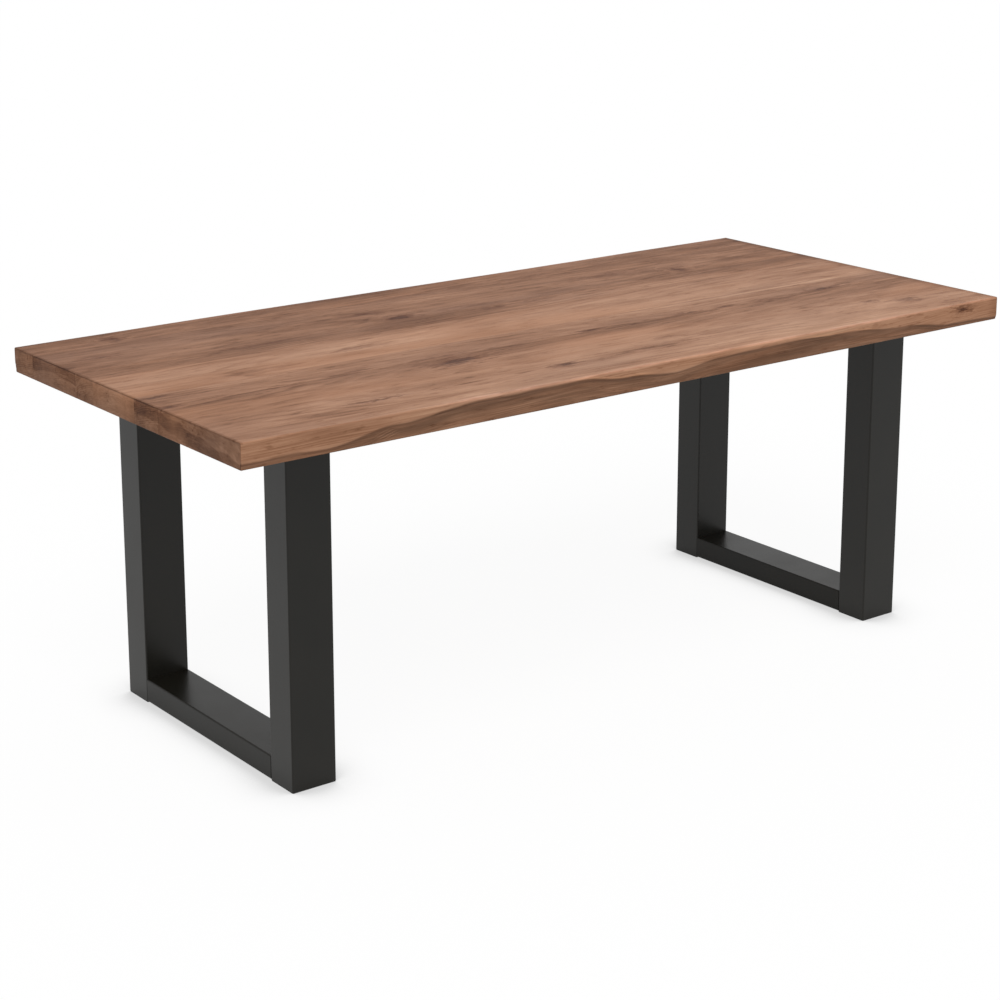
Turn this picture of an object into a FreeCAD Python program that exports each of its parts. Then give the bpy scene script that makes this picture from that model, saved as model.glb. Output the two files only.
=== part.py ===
import FreeCAD, Part
import os
from FreeCAD import Rotation, Vector

# Dining table with a glued-up live edge top on two welded U frames.
# Millimetres. X runs along the table, Y from the front to the back, Z up from the floor.
# The origin is on the floor, under the middle of the top.

# Top
TABLE_HEIGHT = 760.0
TOP_LENGTH = 2000.0
TOP_WIDTH = 915.0
TOP_THICKNESS = 52.0
TOP_EASE = 2.0

# Boards of the top, counted from the back; the front live edge board takes what is left
REAR_LIVE_EDGE_BOARD_WIDTH = 88.0
REAR_WIDE_BOARD_WIDTH = 190.0
REAR_NARROW_BOARD_WIDTH = 74.0
MIDDLE_BOARD_WIDTH = 166.0
FRONT_NARROW_BOARD_WIDTH = 93.0

# Live edges. The crest is the line where the upright bark side turns in under the top.
# Each point is a share of the length from the left end and a share of the thickness below the top.
EDGE_UNDERCUT = 7.0
EDGE_HOLLOW = 1.6
EDGE_STATION_PITCH = 70.0
HIGHEST_CREST_SHARE = 0.10
FRONT_CREST = (
    (0.00, 0.80), (0.09, 0.79), (0.17, 0.38), (0.26, 0.13), (0.38, HIGHEST_CREST_SHARE),
    (0.45, 0.35), (0.51, 0.51), (0.57, 0.23), (0.66, 0.17), (0.75, 0.21), (0.84, 0.48),
    (0.92, 0.78), (1.00, 0.86),
)
REAR_CREST = (
    (0.00, 0.64), (0.10, 0.50), (0.19, 0.20), (0.31, HIGHEST_CREST_SHARE), (0.42, 0.27),
    (0.53, 0.61), (0.63, 0.76), (0.74, 0.46), (0.84, 0.15), (0.93, 0.19), (1.00, 0.33),
)

# Welded U frames of rectangular steel tube
FRAME_WIDTH = 655.0
FRAME_INSET = 168.0
TUBE_FACE = 100.0
UPRIGHT_DEPTH = 80.0
CROSSBAR_HEIGHT = 50.0
TUBE_WALL = 3.0
TUBE_CORNER = 3.0

# Flat plate welded across the top of each frame; its rear holes are slotted across the grain
PLATE_THICKNESS = 6.0
PLATE_CORNER = 3.0
SLOT_WIDTH = 9.0
SLOT_LENGTH = 18.0

# Screws into the top, a pair inside each upright
SCREW_TO_UPRIGHT = 40.0
SCREW_PAIR_SPACING = 56.0
SCREW_DIAMETER = 8.0
SCREW_LENGTH = 25.0
HEX_ACROSS_FLATS = 13.0
HEX_HEIGHT = 5.3
WASHER_DIAMETER = 24.0
WASHER_THICKNESS = 2.0
INSERT_DIAMETER = 12.0
INSERT_LENGTH = 20.0
INSERT_HOLE_DEPTH = 24.0

# Plastic foot plugs in the lower ends of the uprights
FOOT_FLANGE = 2.0
FOOT_FLANGE_INSET = 0.4
FOOT_DEPTH = 20.0
FOOT_WALL = 2.5
FOOT_LIP_HEIGHT = 1.6
FOOT_LIP_REACH = 1.0
FOOT_LIP_COUNT = 3

# Clearances
THREAD_CLEARANCE = 0.1
INSERT_CLEARANCE = 0.1
PLUG_CLEARANCE = 0.2
OVERCUT = 5.0

UNDERSIDE = TABLE_HEIGHT - TOP_THICKNESS
PLATE_UNDERSIDE = UNDERSIDE - PLATE_THICKNESS
FRAME_CENTRE = TOP_LENGTH / 2 - FRAME_INSET - TUBE_FACE / 2
UPRIGHT_CENTRE = FRAME_WIDTH / 2 - UPRIGHT_DEPTH / 2
SCREW_CENTRE = FRAME_WIDTH / 2 - UPRIGHT_DEPTH - SCREW_TO_UPRIGHT


def centred_box(size_x, size_y, size_z):
    return Part.makeBox(size_x, size_y, size_z, Vector(-size_x / 2, -size_y / 2, 0))


def rounded_bar(size_x, size_y, length, corner):
    """An upright bar on the XY plane, centred on Z, with its four long corners rounded."""
    bar = centred_box(size_x, size_y, length)
    upright_edges = [e for e in bar.Edges if e.BoundBox.ZLength > length / 2]
    return bar.makeFillet(corner, upright_edges)


def tube(size_x, size_y, length):
    """An upright rectangular steel tube, open at both ends."""
    bore = centred_box(size_x - 2 * TUBE_WALL, size_y - 2 * TUBE_WALL, length)
    return rounded_bar(size_x, size_y, length, TUBE_CORNER).cut(bore)


def moved(shape, x=0.0, y=0.0, z=0.0):
    copy = shape.copy()
    copy.translate(Vector(x, y, z))
    return copy


# ---- Top ----

def crest_share(crest_line, length_share):
    """How far down the crest lies at a share of the length: an easy swing from point to point."""
    for (start, high), (end, low) in zip(crest_line, crest_line[1:]):
        if length_share <= end:
            way = max(0.0, (length_share - start) / (end - start))
            return high + (low - high) * way * way * (3 - 2 * way)
    return crest_line[-1][1]


def edge_section(x, drop, side):
    """What is cut away from the slab's side at x: upright above the crest, hollow and leaning in below it."""
    crest_y = TOP_WIDTH / 2 - EDGE_UNDERCUT * (drop - HIGHEST_CREST_SHARE)
    crest_z = TABLE_HEIGHT - TOP_THICKNESS * drop
    foot_y = TOP_WIDTH / 2 - EDGE_UNDERCUT * (1 - HIGHEST_CREST_SHARE)
    foot_z = UNDERSIDE + TOP_EASE
    hollow_y = (crest_y + foot_y) / 2 - EDGE_HOLLOW * (1 - drop)
    slant = TOP_EASE + OVERCUT
    outside_y = TOP_WIDTH / 2 + OVERCUT

    foot = Vector(x, side * foot_y, foot_z)
    hollow = Vector(x, side * hollow_y, (crest_z + foot_z) / 2)
    crest = Vector(x, side * crest_y, crest_z)
    arris = Vector(x, side * crest_y, TABLE_HEIGHT - TOP_EASE)
    above = Vector(x, side * (crest_y - slant), TABLE_HEIGHT + OVERCUT)
    outside_above = Vector(x, side * outside_y, TABLE_HEIGHT + OVERCUT)
    outside_below = Vector(x, side * outside_y, UNDERSIDE - OVERCUT)
    below = Vector(x, side * (foot_y - slant), UNDERSIDE - OVERCUT)
    corners = [crest, arris, above, outside_above, outside_below, below, foot]
    straights = [Part.makeLine(start, end) for start, end in zip(corners, corners[1:])]
    return Part.Wire([Part.Arc(foot, hollow, crest).toShape()] + straights)


def edge_waste(crest_line, side):
    """The wood taken off along one long side, which leaves the natural edge."""
    cut_length = TOP_LENGTH + 2 * OVERCUT
    stations = round(cut_length / EDGE_STATION_PITCH)
    sections = []
    for number in range(stations + 1):
        share = number / stations
        sections.append(edge_section((share - 0.5) * cut_length, crest_share(crest_line, share), side))
    return Part.makeLoft(sections, True, False)


def slab():
    """The whole top, flattened, cut to length and eased all round, before it is divided into boards."""
    blank = moved(centred_box(TOP_LENGTH, TOP_WIDTH + OVERCUT, TOP_THICKNESS), z=UNDERSIDE)
    end_arrises = [edge for edge in blank.Edges if edge.BoundBox.YLength > TOP_WIDTH]
    blank = blank.makeChamfer(TOP_EASE, end_arrises)
    return blank.cut([edge_waste(FRONT_CREST, -1), edge_waste(REAR_CREST, 1)])


def board_spans():
    """Each board's name with its front and back seams; the outer two reach past the live edges."""
    widths = (
        ("rear_live_edge_board", REAR_LIVE_EDGE_BOARD_WIDTH),
        ("rear_wide_board", REAR_WIDE_BOARD_WIDTH),
        ("rear_narrow_board", REAR_NARROW_BOARD_WIDTH),
        ("middle_board", MIDDLE_BOARD_WIDTH),
        ("front_narrow_board", FRONT_NARROW_BOARD_WIDTH),
    )
    spans = []
    back = TOP_WIDTH / 2 + OVERCUT
    front = TOP_WIDTH / 2
    for name, width in widths:
        front -= width
        spans.append((name, front, back))
        back = front
    spans.append(("front_live_edge_board", -TOP_WIDTH / 2 - OVERCUT, back))
    return spans


def screw_places():
    """The screws' places on one frame, measured from the frame's middle."""
    return [(column * SCREW_PAIR_SPACING / 2, row * SCREW_CENTRE) for row in (-1, 1) for column in (-1, 1)]


def insert_holes():
    """Blind holes in the underside for the threaded inserts of both frames."""
    radius = INSERT_DIAMETER / 2 + INSERT_CLEARANCE
    return [Part.makeCylinder(radius, INSERT_HOLE_DEPTH, Vector(side * FRAME_CENTRE + x, y, UNDERSIDE))
            for side in (-1, 1) for x, y in screw_places()]


def boards():
    whole = slab()
    holes = Part.makeCompound(insert_holes())
    parts = {}
    for name, front, back in board_spans():
        corner = Vector(-TOP_LENGTH / 2, front, UNDERSIDE)
        between_seams = Part.makeBox(TOP_LENGTH, back - front, TOP_THICKNESS, corner)
        parts[name] = whole.common(between_seams).cut(holes)
    return parts


# ---- Frames, each made about the frame's own middle and then moved to its end ----

def upright():
    return moved(tube(TUBE_FACE, UPRIGHT_DEPTH, PLATE_UNDERSIDE - FOOT_FLANGE), z=FOOT_FLANGE)


def crossbar():
    """A tube laid along Y, butted between the uprights and level with their lower ends."""
    length = FRAME_WIDTH - 2 * UPRIGHT_DEPTH
    bar = tube(TUBE_FACE, CROSSBAR_HEIGHT, length)
    bar.rotate(Vector(0, 0, 0), Vector(1, 0, 0), 90)
    return moved(bar, y=length / 2, z=FOOT_FLANGE + CROSSBAR_HEIGHT / 2)


def slot(length):
    """A hole with round ends, longer across the boards."""
    radius = SLOT_WIDTH / 2
    reach = (length - SLOT_WIDTH) / 2
    hole = Part.makeCylinder(radius, PLATE_THICKNESS, Vector(0, -reach, 0))
    if reach > 0:
        middle = centred_box(SLOT_WIDTH, 2 * reach, PLATE_THICKNESS)
        hole = hole.fuse([middle, Part.makeCylinder(radius, PLATE_THICKNESS, Vector(0, reach, 0))])
    return hole


def top_plate():
    """The front pair of holes is round and holds the top; the rear pair lets it swell and shrink."""
    plate = rounded_bar(TUBE_FACE, FRAME_WIDTH, PLATE_THICKNESS, PLATE_CORNER)
    for x, y in screw_places():
        hole = moved(slot(SLOT_LENGTH), x, y) if y > 0 else moved(slot(SLOT_WIDTH), x, y)
        plate = plate.cut(hole)
    return moved(plate, z=PLATE_UNDERSIDE)


def foot_plug():
    """A ribbed hollow plug pushed into the tube, with a thin flange that stands on the floor."""
    bore_x = TUBE_FACE - 2 * TUBE_WALL
    bore_y = UPRIGHT_DEPTH - 2 * TUBE_WALL
    flange = rounded_bar(TUBE_FACE - 2 * FOOT_FLANGE_INSET, UPRIGHT_DEPTH - 2 * FOOT_FLANGE_INSET,
                         FOOT_FLANGE, TUBE_CORNER)
    inset = 2 * (PLUG_CLEARANCE + FOOT_LIP_REACH)
    skirt = moved(centred_box(bore_x - inset, bore_y - inset, FOOT_DEPTH), z=FOOT_FLANGE)
    plug = flange.fuse(skirt)
    lip_pitch = FOOT_DEPTH / (FOOT_LIP_COUNT + 1)
    for number in range(1, FOOT_LIP_COUNT + 1):
        lip = centred_box(bore_x - 2 * PLUG_CLEARANCE, bore_y - 2 * PLUG_CLEARANCE, FOOT_LIP_HEIGHT)
        plug = plug.fuse(moved(lip, z=FOOT_FLANGE + number * lip_pitch))
    hollow = inset + 2 * FOOT_WALL
    return plug.cut(moved(centred_box(bore_x - hollow, bore_y - hollow, FOOT_DEPTH), z=FOOT_FLANGE))


# ---- Fasteners, each made upright at the origin ----

def hexagon(across_flats, height):
    corner = Vector(across_flats / 3 ** 0.5, 0, 0)
    turns = [Rotation(Vector(0, 0, 1), 60 * side) for side in range(7)]
    outline = Part.makePolygon([turn.multVec(corner) for turn in turns])
    return Part.Face(outline).extrude(Vector(0, 0, height))


def bolt():
    """A hexagon screw, head down, with its shank standing on the head."""
    shank = Part.makeCylinder(SCREW_DIAMETER / 2, SCREW_LENGTH, Vector(0, 0, HEX_HEIGHT))
    return hexagon(HEX_ACROSS_FLATS, HEX_HEIGHT).fuse(shank)


def washer():
    disc = Part.makeCylinder(WASHER_DIAMETER / 2, WASHER_THICKNESS)
    return disc.cut(Part.makeCylinder(SCREW_DIAMETER / 2 + THREAD_CLEARANCE, WASHER_THICKNESS))


def insert():
    """A threaded bush for wood, bored through."""
    bush = Part.makeCylinder(INSERT_DIAMETER / 2, INSERT_LENGTH)
    return bush.cut(Part.makeCylinder(SCREW_DIAMETER / 2 + THREAD_CLEARANCE, INSERT_LENGTH))


def at_screws(shape, z):
    return Part.makeCompound([moved(shape, x, y, z) for x, y in screw_places()])


def frame_parts():
    washer_underside = PLATE_UNDERSIDE - WASHER_THICKNESS
    return {
        "front_upright": moved(upright(), y=-UPRIGHT_CENTRE),
        "rear_upright": moved(upright(), y=UPRIGHT_CENTRE),
        "crossbar": crossbar(),
        "top_plate": top_plate(),
        "front_foot_plug": moved(foot_plug(), y=-UPRIGHT_CENTRE),
        "rear_foot_plug": moved(foot_plug(), y=UPRIGHT_CENTRE),
        "plate_bolts": at_screws(bolt(), washer_underside - HEX_HEIGHT),
        "plate_washers": at_screws(washer(), washer_underside),
        "slab_inserts": at_screws(insert(), UNDERSIDE),
    }


def table_parts():
    parts = boards()
    for end, side in (("left", -1), ("right", 1)):
        for name, shape in frame_parts().items():
            parts[end + "_" + name] = moved(shape, x=side * FRAME_CENTRE)
    return parts


os.makedirs("parts", exist_ok=True)
for node, shape in table_parts().items():
    shape.exportStep("parts/" + node + ".step")
    print(node, "solids", len(shape.Solids), "valid", shape.isValid(), "litres", round(shape.Volume / 1e6, 3))
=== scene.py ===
import math
from collections import namedtuple
import bmesh
import bpy
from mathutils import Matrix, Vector, noise


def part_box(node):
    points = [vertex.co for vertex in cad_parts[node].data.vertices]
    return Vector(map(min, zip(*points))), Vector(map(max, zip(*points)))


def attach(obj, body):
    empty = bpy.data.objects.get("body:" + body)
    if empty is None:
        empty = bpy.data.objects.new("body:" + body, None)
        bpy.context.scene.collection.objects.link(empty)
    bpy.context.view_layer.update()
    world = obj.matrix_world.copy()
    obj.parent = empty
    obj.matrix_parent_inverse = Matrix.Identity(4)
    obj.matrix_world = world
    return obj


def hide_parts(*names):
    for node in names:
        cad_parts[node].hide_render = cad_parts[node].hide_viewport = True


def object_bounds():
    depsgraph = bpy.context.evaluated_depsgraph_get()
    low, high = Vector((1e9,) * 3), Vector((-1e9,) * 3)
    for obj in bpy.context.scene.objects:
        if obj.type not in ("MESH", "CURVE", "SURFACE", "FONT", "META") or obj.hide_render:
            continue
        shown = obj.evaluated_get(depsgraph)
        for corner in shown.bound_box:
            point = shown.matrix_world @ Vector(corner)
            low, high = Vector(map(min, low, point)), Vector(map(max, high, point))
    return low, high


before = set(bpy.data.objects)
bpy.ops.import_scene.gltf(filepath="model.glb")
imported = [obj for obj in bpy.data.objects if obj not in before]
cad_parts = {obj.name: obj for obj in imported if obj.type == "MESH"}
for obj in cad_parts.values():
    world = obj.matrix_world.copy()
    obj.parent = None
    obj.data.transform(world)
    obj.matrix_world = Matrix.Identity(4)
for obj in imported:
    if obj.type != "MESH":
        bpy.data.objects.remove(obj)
cad_low, cad_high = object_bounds()

# ---- Sizes in metres, taken from the frame ----

BOARDS = ("rear_live_edge_board", "rear_wide_board", "rear_narrow_board",
          "middle_board", "front_narrow_board", "front_live_edge_board")
HALF_LENGTH = cad_high[0]
HALF_WIDTH = cad_high[1]
TOP = cad_high[2]
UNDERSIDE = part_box("middle_board")[0][2]
THICKNESS = TOP - UNDERSIDE

# ---- Live edges: the crest lines of the solids, as shares of the length and of the thickness ----

EDGE_UNDERCUT = 0.007
EDGE_HOLLOW = 0.0016
HIGHEST_CREST_SHARE = 0.10
CREST_OVERRUN = 0.005
FRONT_CREST = (
    (0.00, 0.80), (0.09, 0.79), (0.17, 0.38), (0.26, 0.13), (0.38, HIGHEST_CREST_SHARE),
    (0.45, 0.35), (0.51, 0.51), (0.57, 0.23), (0.66, 0.17), (0.75, 0.21), (0.84, 0.48),
    (0.92, 0.78), (1.00, 0.86),
)
REAR_CREST = (
    (0.00, 0.64), (0.10, 0.50), (0.19, 0.20), (0.31, HIGHEST_CREST_SHARE), (0.42, 0.27),
    (0.53, 0.61), (0.63, 0.76), (0.74, 0.46), (0.84, 0.15), (0.93, 0.19), (1.00, 0.33),
)

# ---- How the boards' meshes are divided and softened ----

STATION_PITCH = 0.005
ARRIS_STEPS = 5
TOP_ROUNDING = 0.0026
ROUNDING_MEAN = 1.15
ROUNDING_SWING = 0.35
ROUNDING_PITCH = 4
ROUNDING_SEED = 0.5
FOOT_ROUNDING = 0.002
END_ROUNDING = 0.002
SEAM_EASE = 0.0002
SUPPORT_GAP = 0.0008
CREST_SOFTNESS = 0.0016
WELL_BELOW_CREST = 30
UPRIGHT_ROWS = 9
HOLLOW_ROWS = 16
FAR_FROM_CREST = -1.0

# The ripples below a crest: fine flutes and broad swells, each with its pitch along and down
RIPPLE_DEPTH = 0.0012
RIPPLE_RUN_IN = 0.004
FLUTE_PITCH = (5, 110)
FLUTE_SHARE = 0.55
FLUTE_SEED = 7
SWELL_PITCH = (2.2, 30)
SWELL_SHARE = 0.45
SWELL_SEED = 11

# ---- Camera of the main view ----

CAMERA_PLACE = (-2.96174, -3.78230, 1.85884)
CAMERA_YAW = 0.65081
CAMERA_PITCH = 0.23773
CAMERA_SHIFT = -0.15
SENSOR_WIDTH = 36.0
PICTURE_WIDTH = 1000
FOCAL_PIXELS = 2266.0
CAMERA_REACH = 200.0

# ---- Studio ----

FLOOR_REACH = 60.0
FLOOR_GLOW = 0.93
FLOOR_SEEN = 0.07
FLOOR_BOUNCE = 0.7
CONTACT_REACH = 0.14
CONTACT_DARKEST = 0.40
CONTACT_DEPTH = 2.0
CONTACT_SAMPLES = 16
SKY_LIGHT = 0.60
SKY_SEEN = 0.98
SUN_STRENGTH = 1.6
SUN_ANGLE = math.radians(40)
SUN_TILT = (math.radians(28), math.radians(-27), 0.0)


def srgb(red, green, blue):
    """A screen colour from 0 to 255 as the linear colour that a shader takes."""
    def linear(value):
        share = value / 255
        return share / 12.92 if share <= 0.04045 else ((share + 0.055) / 1.055) ** 2.4
    return (linear(red), linear(green), linear(blue), 1.0)


# A noise that a finish is read from: how much it is stretched per metre (more is finer), its
# detail and roughness, its shift, and how far it swings about nought where it is used as a swing
Layer = namedtuple("Layer", "stretch detail roughness shift amount",
                   defaults=(2.0, 0.5, (0.0, 0.0, 0.0), 0.0))


def even(size):
    """The same size in all three directions."""
    return (size, size, size)


def less_half(reach):
    """What brings a noise of this reach, which starts at nought, back to its middle."""
    return tuple(-part / 2 for part in reach)


class Shader:
    """One material and short ways to add and join its nodes."""

    def __init__(self, name):
        self.material = bpy.data.materials.new(name)
        self.material.use_nodes = True
        self.tree = self.material.node_tree
        self.tree.nodes.clear()

    def node(self, kind, **settings):
        made = self.tree.nodes.new("ShaderNode" + kind)
        for name, value in settings.items():
            setattr(made, name, value)
        return made

    def feed(self, socket, value):
        """Joins a socket to another node's output, or sets it."""
        if isinstance(value, bpy.types.NodeSocket):
            self.tree.links.new(value, socket)
        else:
            socket.default_value = value

    def math(self, operation, *values):
        made = self.node("Math", operation=operation)
        for socket, value in zip(made.inputs, values):
            self.feed(socket, value)
        return made.outputs[0]

    def add(self, *values):
        total = values[0]
        for value in values[1:]:
            total = self.math("ADD", total, value)
        return total

    def times(self, first, second):
        return self.math("MULTIPLY", first, second)

    def vector(self, operation, *values):
        made = self.node("VectorMath", operation=operation)
        for socket, value in zip(made.inputs, values):
            self.feed(socket, value)
        return made.outputs["Value" if operation == "LENGTH" else "Vector"]

    def combine(self, x, y, z):
        made = self.node("CombineXYZ")
        for socket, value in zip(made.inputs, (x, y, z)):
            self.feed(socket, value)
        return made.outputs[0]

    def split(self, value):
        made = self.node("SeparateXYZ")
        self.feed(made.inputs[0], value)
        return made.outputs[:3]

    def place(self):
        """Where the point is, in metres, in the object's own frame."""
        return self.node("TexCoord").outputs["Object"]

    def stretched(self, place, stretch, shift):
        """A place times a stretch plus a shift."""
        return self.vector("MULTIPLY_ADD", place, stretch, shift)

    def layer(self, layer, place, shift=None, colour=False):
        """A layer's noise, from 0 to 1 about a half."""
        made = self.node("TexNoise")
        at = self.stretched(place, layer.stretch, shift or layer.shift)
        self.feed(made.inputs["Vector"], at)
        made.inputs["Scale"].default_value = 1.0
        made.inputs["Detail"].default_value = layer.detail
        made.inputs["Roughness"].default_value = layer.roughness
        return made.outputs["Color" if colour else "Fac"]

    def swing(self, layer, place, shift=None):
        """A layer's noise about nought, as large as its amount at its usual ends."""
        found = self.layer(layer, place, shift)
        return self.math("MULTIPLY_ADD", found, 4 * layer.amount, -2 * layer.amount)

    def fade(self, value, start, end, low=0.0, high=1.0):
        """A smooth step from low at start to high at end."""
        made = self.node("MapRange", interpolation_type="SMOOTHSTEP")
        for socket, number in zip(made.inputs, (value, start, end, low, high)):
            self.feed(socket, number)
        return made.outputs[0]

    def fade_near(self, value, edge, gaps):
        """A smooth step up to 1 near an edge, between two gaps before it."""
        return self.fade(value, edge - gaps[0], edge - gaps[1])

    def mix(self, share, first, second, blend="MIX"):
        made = self.node("Mix", data_type="RGBA", blend_type=blend)
        self.feed(made.inputs[0], share)
        self.feed(made.inputs[6], first)
        self.feed(made.inputs[7], second)
        return made.outputs[2]

    def ramp(self, value, stops):
        made = self.node("ValToRGB")
        band = made.color_ramp
        band.elements[0].position, band.elements[0].color = stops[0]
        band.elements[1].position, band.elements[1].color = stops[-1]
        for position, colour in stops[1:-1]:
            band.elements.new(position).color = colour
        self.feed(made.inputs[0], value)
        return made.outputs[0]

    def bump(self, height, distance, strength, normal=None):
        made = self.node("Bump")
        made.inputs["Strength"].default_value = strength
        made.inputs["Distance"].default_value = distance
        self.feed(made.inputs["Height"], height)
        if normal:
            self.feed(made.inputs["Normal"], normal)
        return made.outputs[0]

    def surface(self, **sockets):
        """The Principled surface that ends the tree."""
        made = self.node("BsdfPrincipled")
        for name, value in sockets.items():
            self.feed(made.inputs[name.replace("_", " ")], value)
        end = self.node("OutputMaterial")
        self.tree.links.new(made.outputs[0], end.inputs[0])
        return self.material


# ---- Camera, floor and light ----

def camera():
    data = bpy.data.cameras.new("main_view")
    data.sensor_width = SENSOR_WIDTH
    data.lens = FOCAL_PIXELS / PICTURE_WIDTH * SENSOR_WIDTH
    data.shift_y = CAMERA_SHIFT
    data.clip_end = CAMERA_REACH
    eye = bpy.data.objects.new("main_view", data)
    eye.location = CAMERA_PLACE
    eye.rotation_euler = (math.pi / 2 - CAMERA_PITCH, 0.0, -CAMERA_YAW)
    bpy.context.collection.objects.link(eye)
    bpy.context.scene.camera = eye


def pale_floor():
    """A plain floor that looks white, with a soft shade close to what stands on it."""
    shader = Shader("pale_floor")
    path = shader.node("LightPath")
    seen = shader.math("MAXIMUM", path.outputs["Is Camera Ray"], path.outputs["Is Glossy Ray"])
    grey = shader.fade(seen, 0.0, 1.0, FLOOR_BOUNCE, FLOOR_SEEN)
    matt = shader.node("BsdfDiffuse")
    shader.feed(matt.inputs["Color"], shader.combine(grey, grey, grey))
    open_share = shader.node("AmbientOcclusion", samples=CONTACT_SAMPLES)
    open_share.inputs["Distance"].default_value = CONTACT_REACH
    hidden = shader.math("SUBTRACT", 1.0, open_share.outputs["AO"])
    hidden = shader.math("MINIMUM", hidden, CONTACT_DARKEST)
    contact = shader.math("MULTIPLY_ADD", shader.times(hidden, hidden), -CONTACT_DEPTH, 1.0)
    glow = shader.node("Emission")
    shader.feed(glow.inputs["Strength"], shader.times(shader.times(seen, FLOOR_GLOW), contact))
    both = shader.node("AddShader")
    shader.feed(both.inputs[0], matt.outputs[0])
    shader.feed(both.inputs[1], glow.outputs[0])
    end = shader.node("OutputMaterial")
    shader.tree.links.new(both.outputs[0], end.inputs[0])
    return shader.material


def floor():
    mesh = bpy.data.meshes.new("studio_floor")
    corners = [(-FLOOR_REACH, -FLOOR_REACH, 0), (FLOOR_REACH, -FLOOR_REACH, 0),
               (FLOOR_REACH, FLOOR_REACH, 0), (-FLOOR_REACH, FLOOR_REACH, 0)]
    mesh.from_pydata(corners, [], [(0, 1, 2, 3)])
    mesh.materials.append(pale_floor())
    piece = bpy.data.objects.new("studio_floor", mesh)
    bpy.context.collection.objects.link(piece)


def sky():
    """An even white sky, which lights the table less than it shows."""
    world = bpy.data.worlds.new("studio")
    bpy.context.scene.world = world
    world.use_nodes = True
    tree = world.node_tree
    tree.nodes.clear()
    path = tree.nodes.new("ShaderNodeLightPath")
    seen = tree.nodes.new("ShaderNodeMath")
    seen.operation = "MAXIMUM"
    tree.links.new(path.outputs["Is Camera Ray"], seen.inputs[0])
    tree.links.new(path.outputs["Is Glossy Ray"], seen.inputs[1])
    level = tree.nodes.new("ShaderNodeMapRange")
    level.inputs["To Min"].default_value = SKY_LIGHT
    level.inputs["To Max"].default_value = SKY_SEEN
    tree.links.new(seen.outputs[0], level.inputs["Value"])
    glow = tree.nodes.new("ShaderNodeBackground")
    glow.inputs["Color"].default_value = (1.0, 1.0, 1.0, 1.0)
    tree.links.new(level.outputs[0], glow.inputs["Strength"])
    end = tree.nodes.new("ShaderNodeOutputWorld")
    tree.links.new(glow.outputs[0], end.inputs[0])


def sun():
    """One broad soft light from above."""
    data = bpy.data.lights.new("soft_sun", "SUN")
    data.energy = SUN_STRENGTH
    data.angle = SUN_ANGLE
    lamp = bpy.data.objects.new("soft_sun", data)
    lamp.rotation_euler = SUN_TILT
    bpy.context.collection.objects.link(lamp)


# ---- The shapes of the boards ----

def crest_share(crest_line, length_share):
    """How far down the crest lies at a share of the length: an easy swing from point to point."""
    for (start, high), (end, low) in zip(crest_line, crest_line[1:]):
        if length_share <= end:
            way = max(0.0, (length_share - start) / (end - start))
            return high + (low - high) * way * way * (3 - 2 * way)
    return crest_line[-1][1]


def quarter(steps):
    """The sine and cosine of a quarter turn's steps, both ends included."""
    angles = [math.pi / 2 * step / steps for step in range(steps + 1)]
    return [(math.sin(angle), math.cos(angle)) for angle in angles]


def softened(depth):
    """The depth below the crest, nought above it, with a soft bend between the two."""
    ratio = depth / CREST_SOFTNESS
    if ratio > WELL_BELOW_CREST:
        return depth
    return CREST_SOFTNESS * math.log1p(math.exp(ratio))


def ripples(x, fall, side):
    """How deep the ripples of a live edge cut in at x, fall metres below the crest."""
    flutes = noise.noise(Vector((FLUTE_PITCH[0] * x, FLUTE_PITCH[1] * fall, FLUTE_SEED * side)))
    swells = noise.noise(Vector((SWELL_PITCH[0] * x, SWELL_PITCH[1] * fall, SWELL_SEED * side)))
    run_in = min(1.0, softened(fall) / RIPPLE_RUN_IN)
    return RIPPLE_DEPTH * run_in * (1 + FLUTE_SHARE * flutes + SWELL_SHARE * swells)


def live_side(x, crest_line, side):
    """(y, z, metres below the crest) down a live edge from the top face to the underside."""
    share = (x + HALF_LENGTH + CREST_OVERRUN) / (2 * (HALF_LENGTH + CREST_OVERRUN))
    drop = crest_share(crest_line, share)
    crest_y = HALF_WIDTH - EDGE_UNDERCUT * (drop - HIGHEST_CREST_SHARE)
    crest_z = TOP - THICKNESS * drop
    foot_y = HALF_WIDTH - EDGE_UNDERCUT * (1 - HIGHEST_CREST_SHARE)
    foot_z = UNDERSIDE + FOOT_ROUNDING
    waver = noise.noise(Vector((ROUNDING_PITCH * x, side, ROUNDING_SEED)))
    rounding = TOP_ROUNDING * (ROUNDING_MEAN + ROUNDING_SWING * waver)
    upright_z = TOP - rounding
    hollow = EDGE_HOLLOW * (1 - drop)

    def wall(z):
        depth = softened(crest_z - z)
        way = min(1.0, depth / (crest_z - foot_z))
        dip = hollow * 4 * way * (1 - way)
        return crest_y + (foot_y - crest_y) * way - dip - ripples(x, crest_z - z, side)

    top_y = wall(upright_z)
    low_y = wall(foot_z)
    points = [(top_y - rounding - SUPPORT_GAP, TOP)]
    for sine, cosine in quarter(ARRIS_STEPS):
        points.append((top_y - rounding + rounding * sine, upright_z + rounding * cosine))
    top_z = min(upright_z, max(crest_z, foot_z + SUPPORT_GAP))
    for row in range(1, UPRIGHT_ROWS + 1):
        z = upright_z + (top_z - upright_z) * row / UPRIGHT_ROWS
        points.append((wall(z), z))
    for row in range(1, HOLLOW_ROWS + 1):
        z = top_z + (foot_z - top_z) * row / HOLLOW_ROWS
        points.append((wall(z), z))
    for sine, cosine in quarter(ARRIS_STEPS)[1:]:
        points.append((low_y - FOOT_ROUNDING + FOOT_ROUNDING * cosine, foot_z - FOOT_ROUNDING * sine))
    points.append((low_y - FOOT_ROUNDING - SUPPORT_GAP, UNDERSIDE))
    return [(side * y, z, crest_z - z) for y, z in points]


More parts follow.
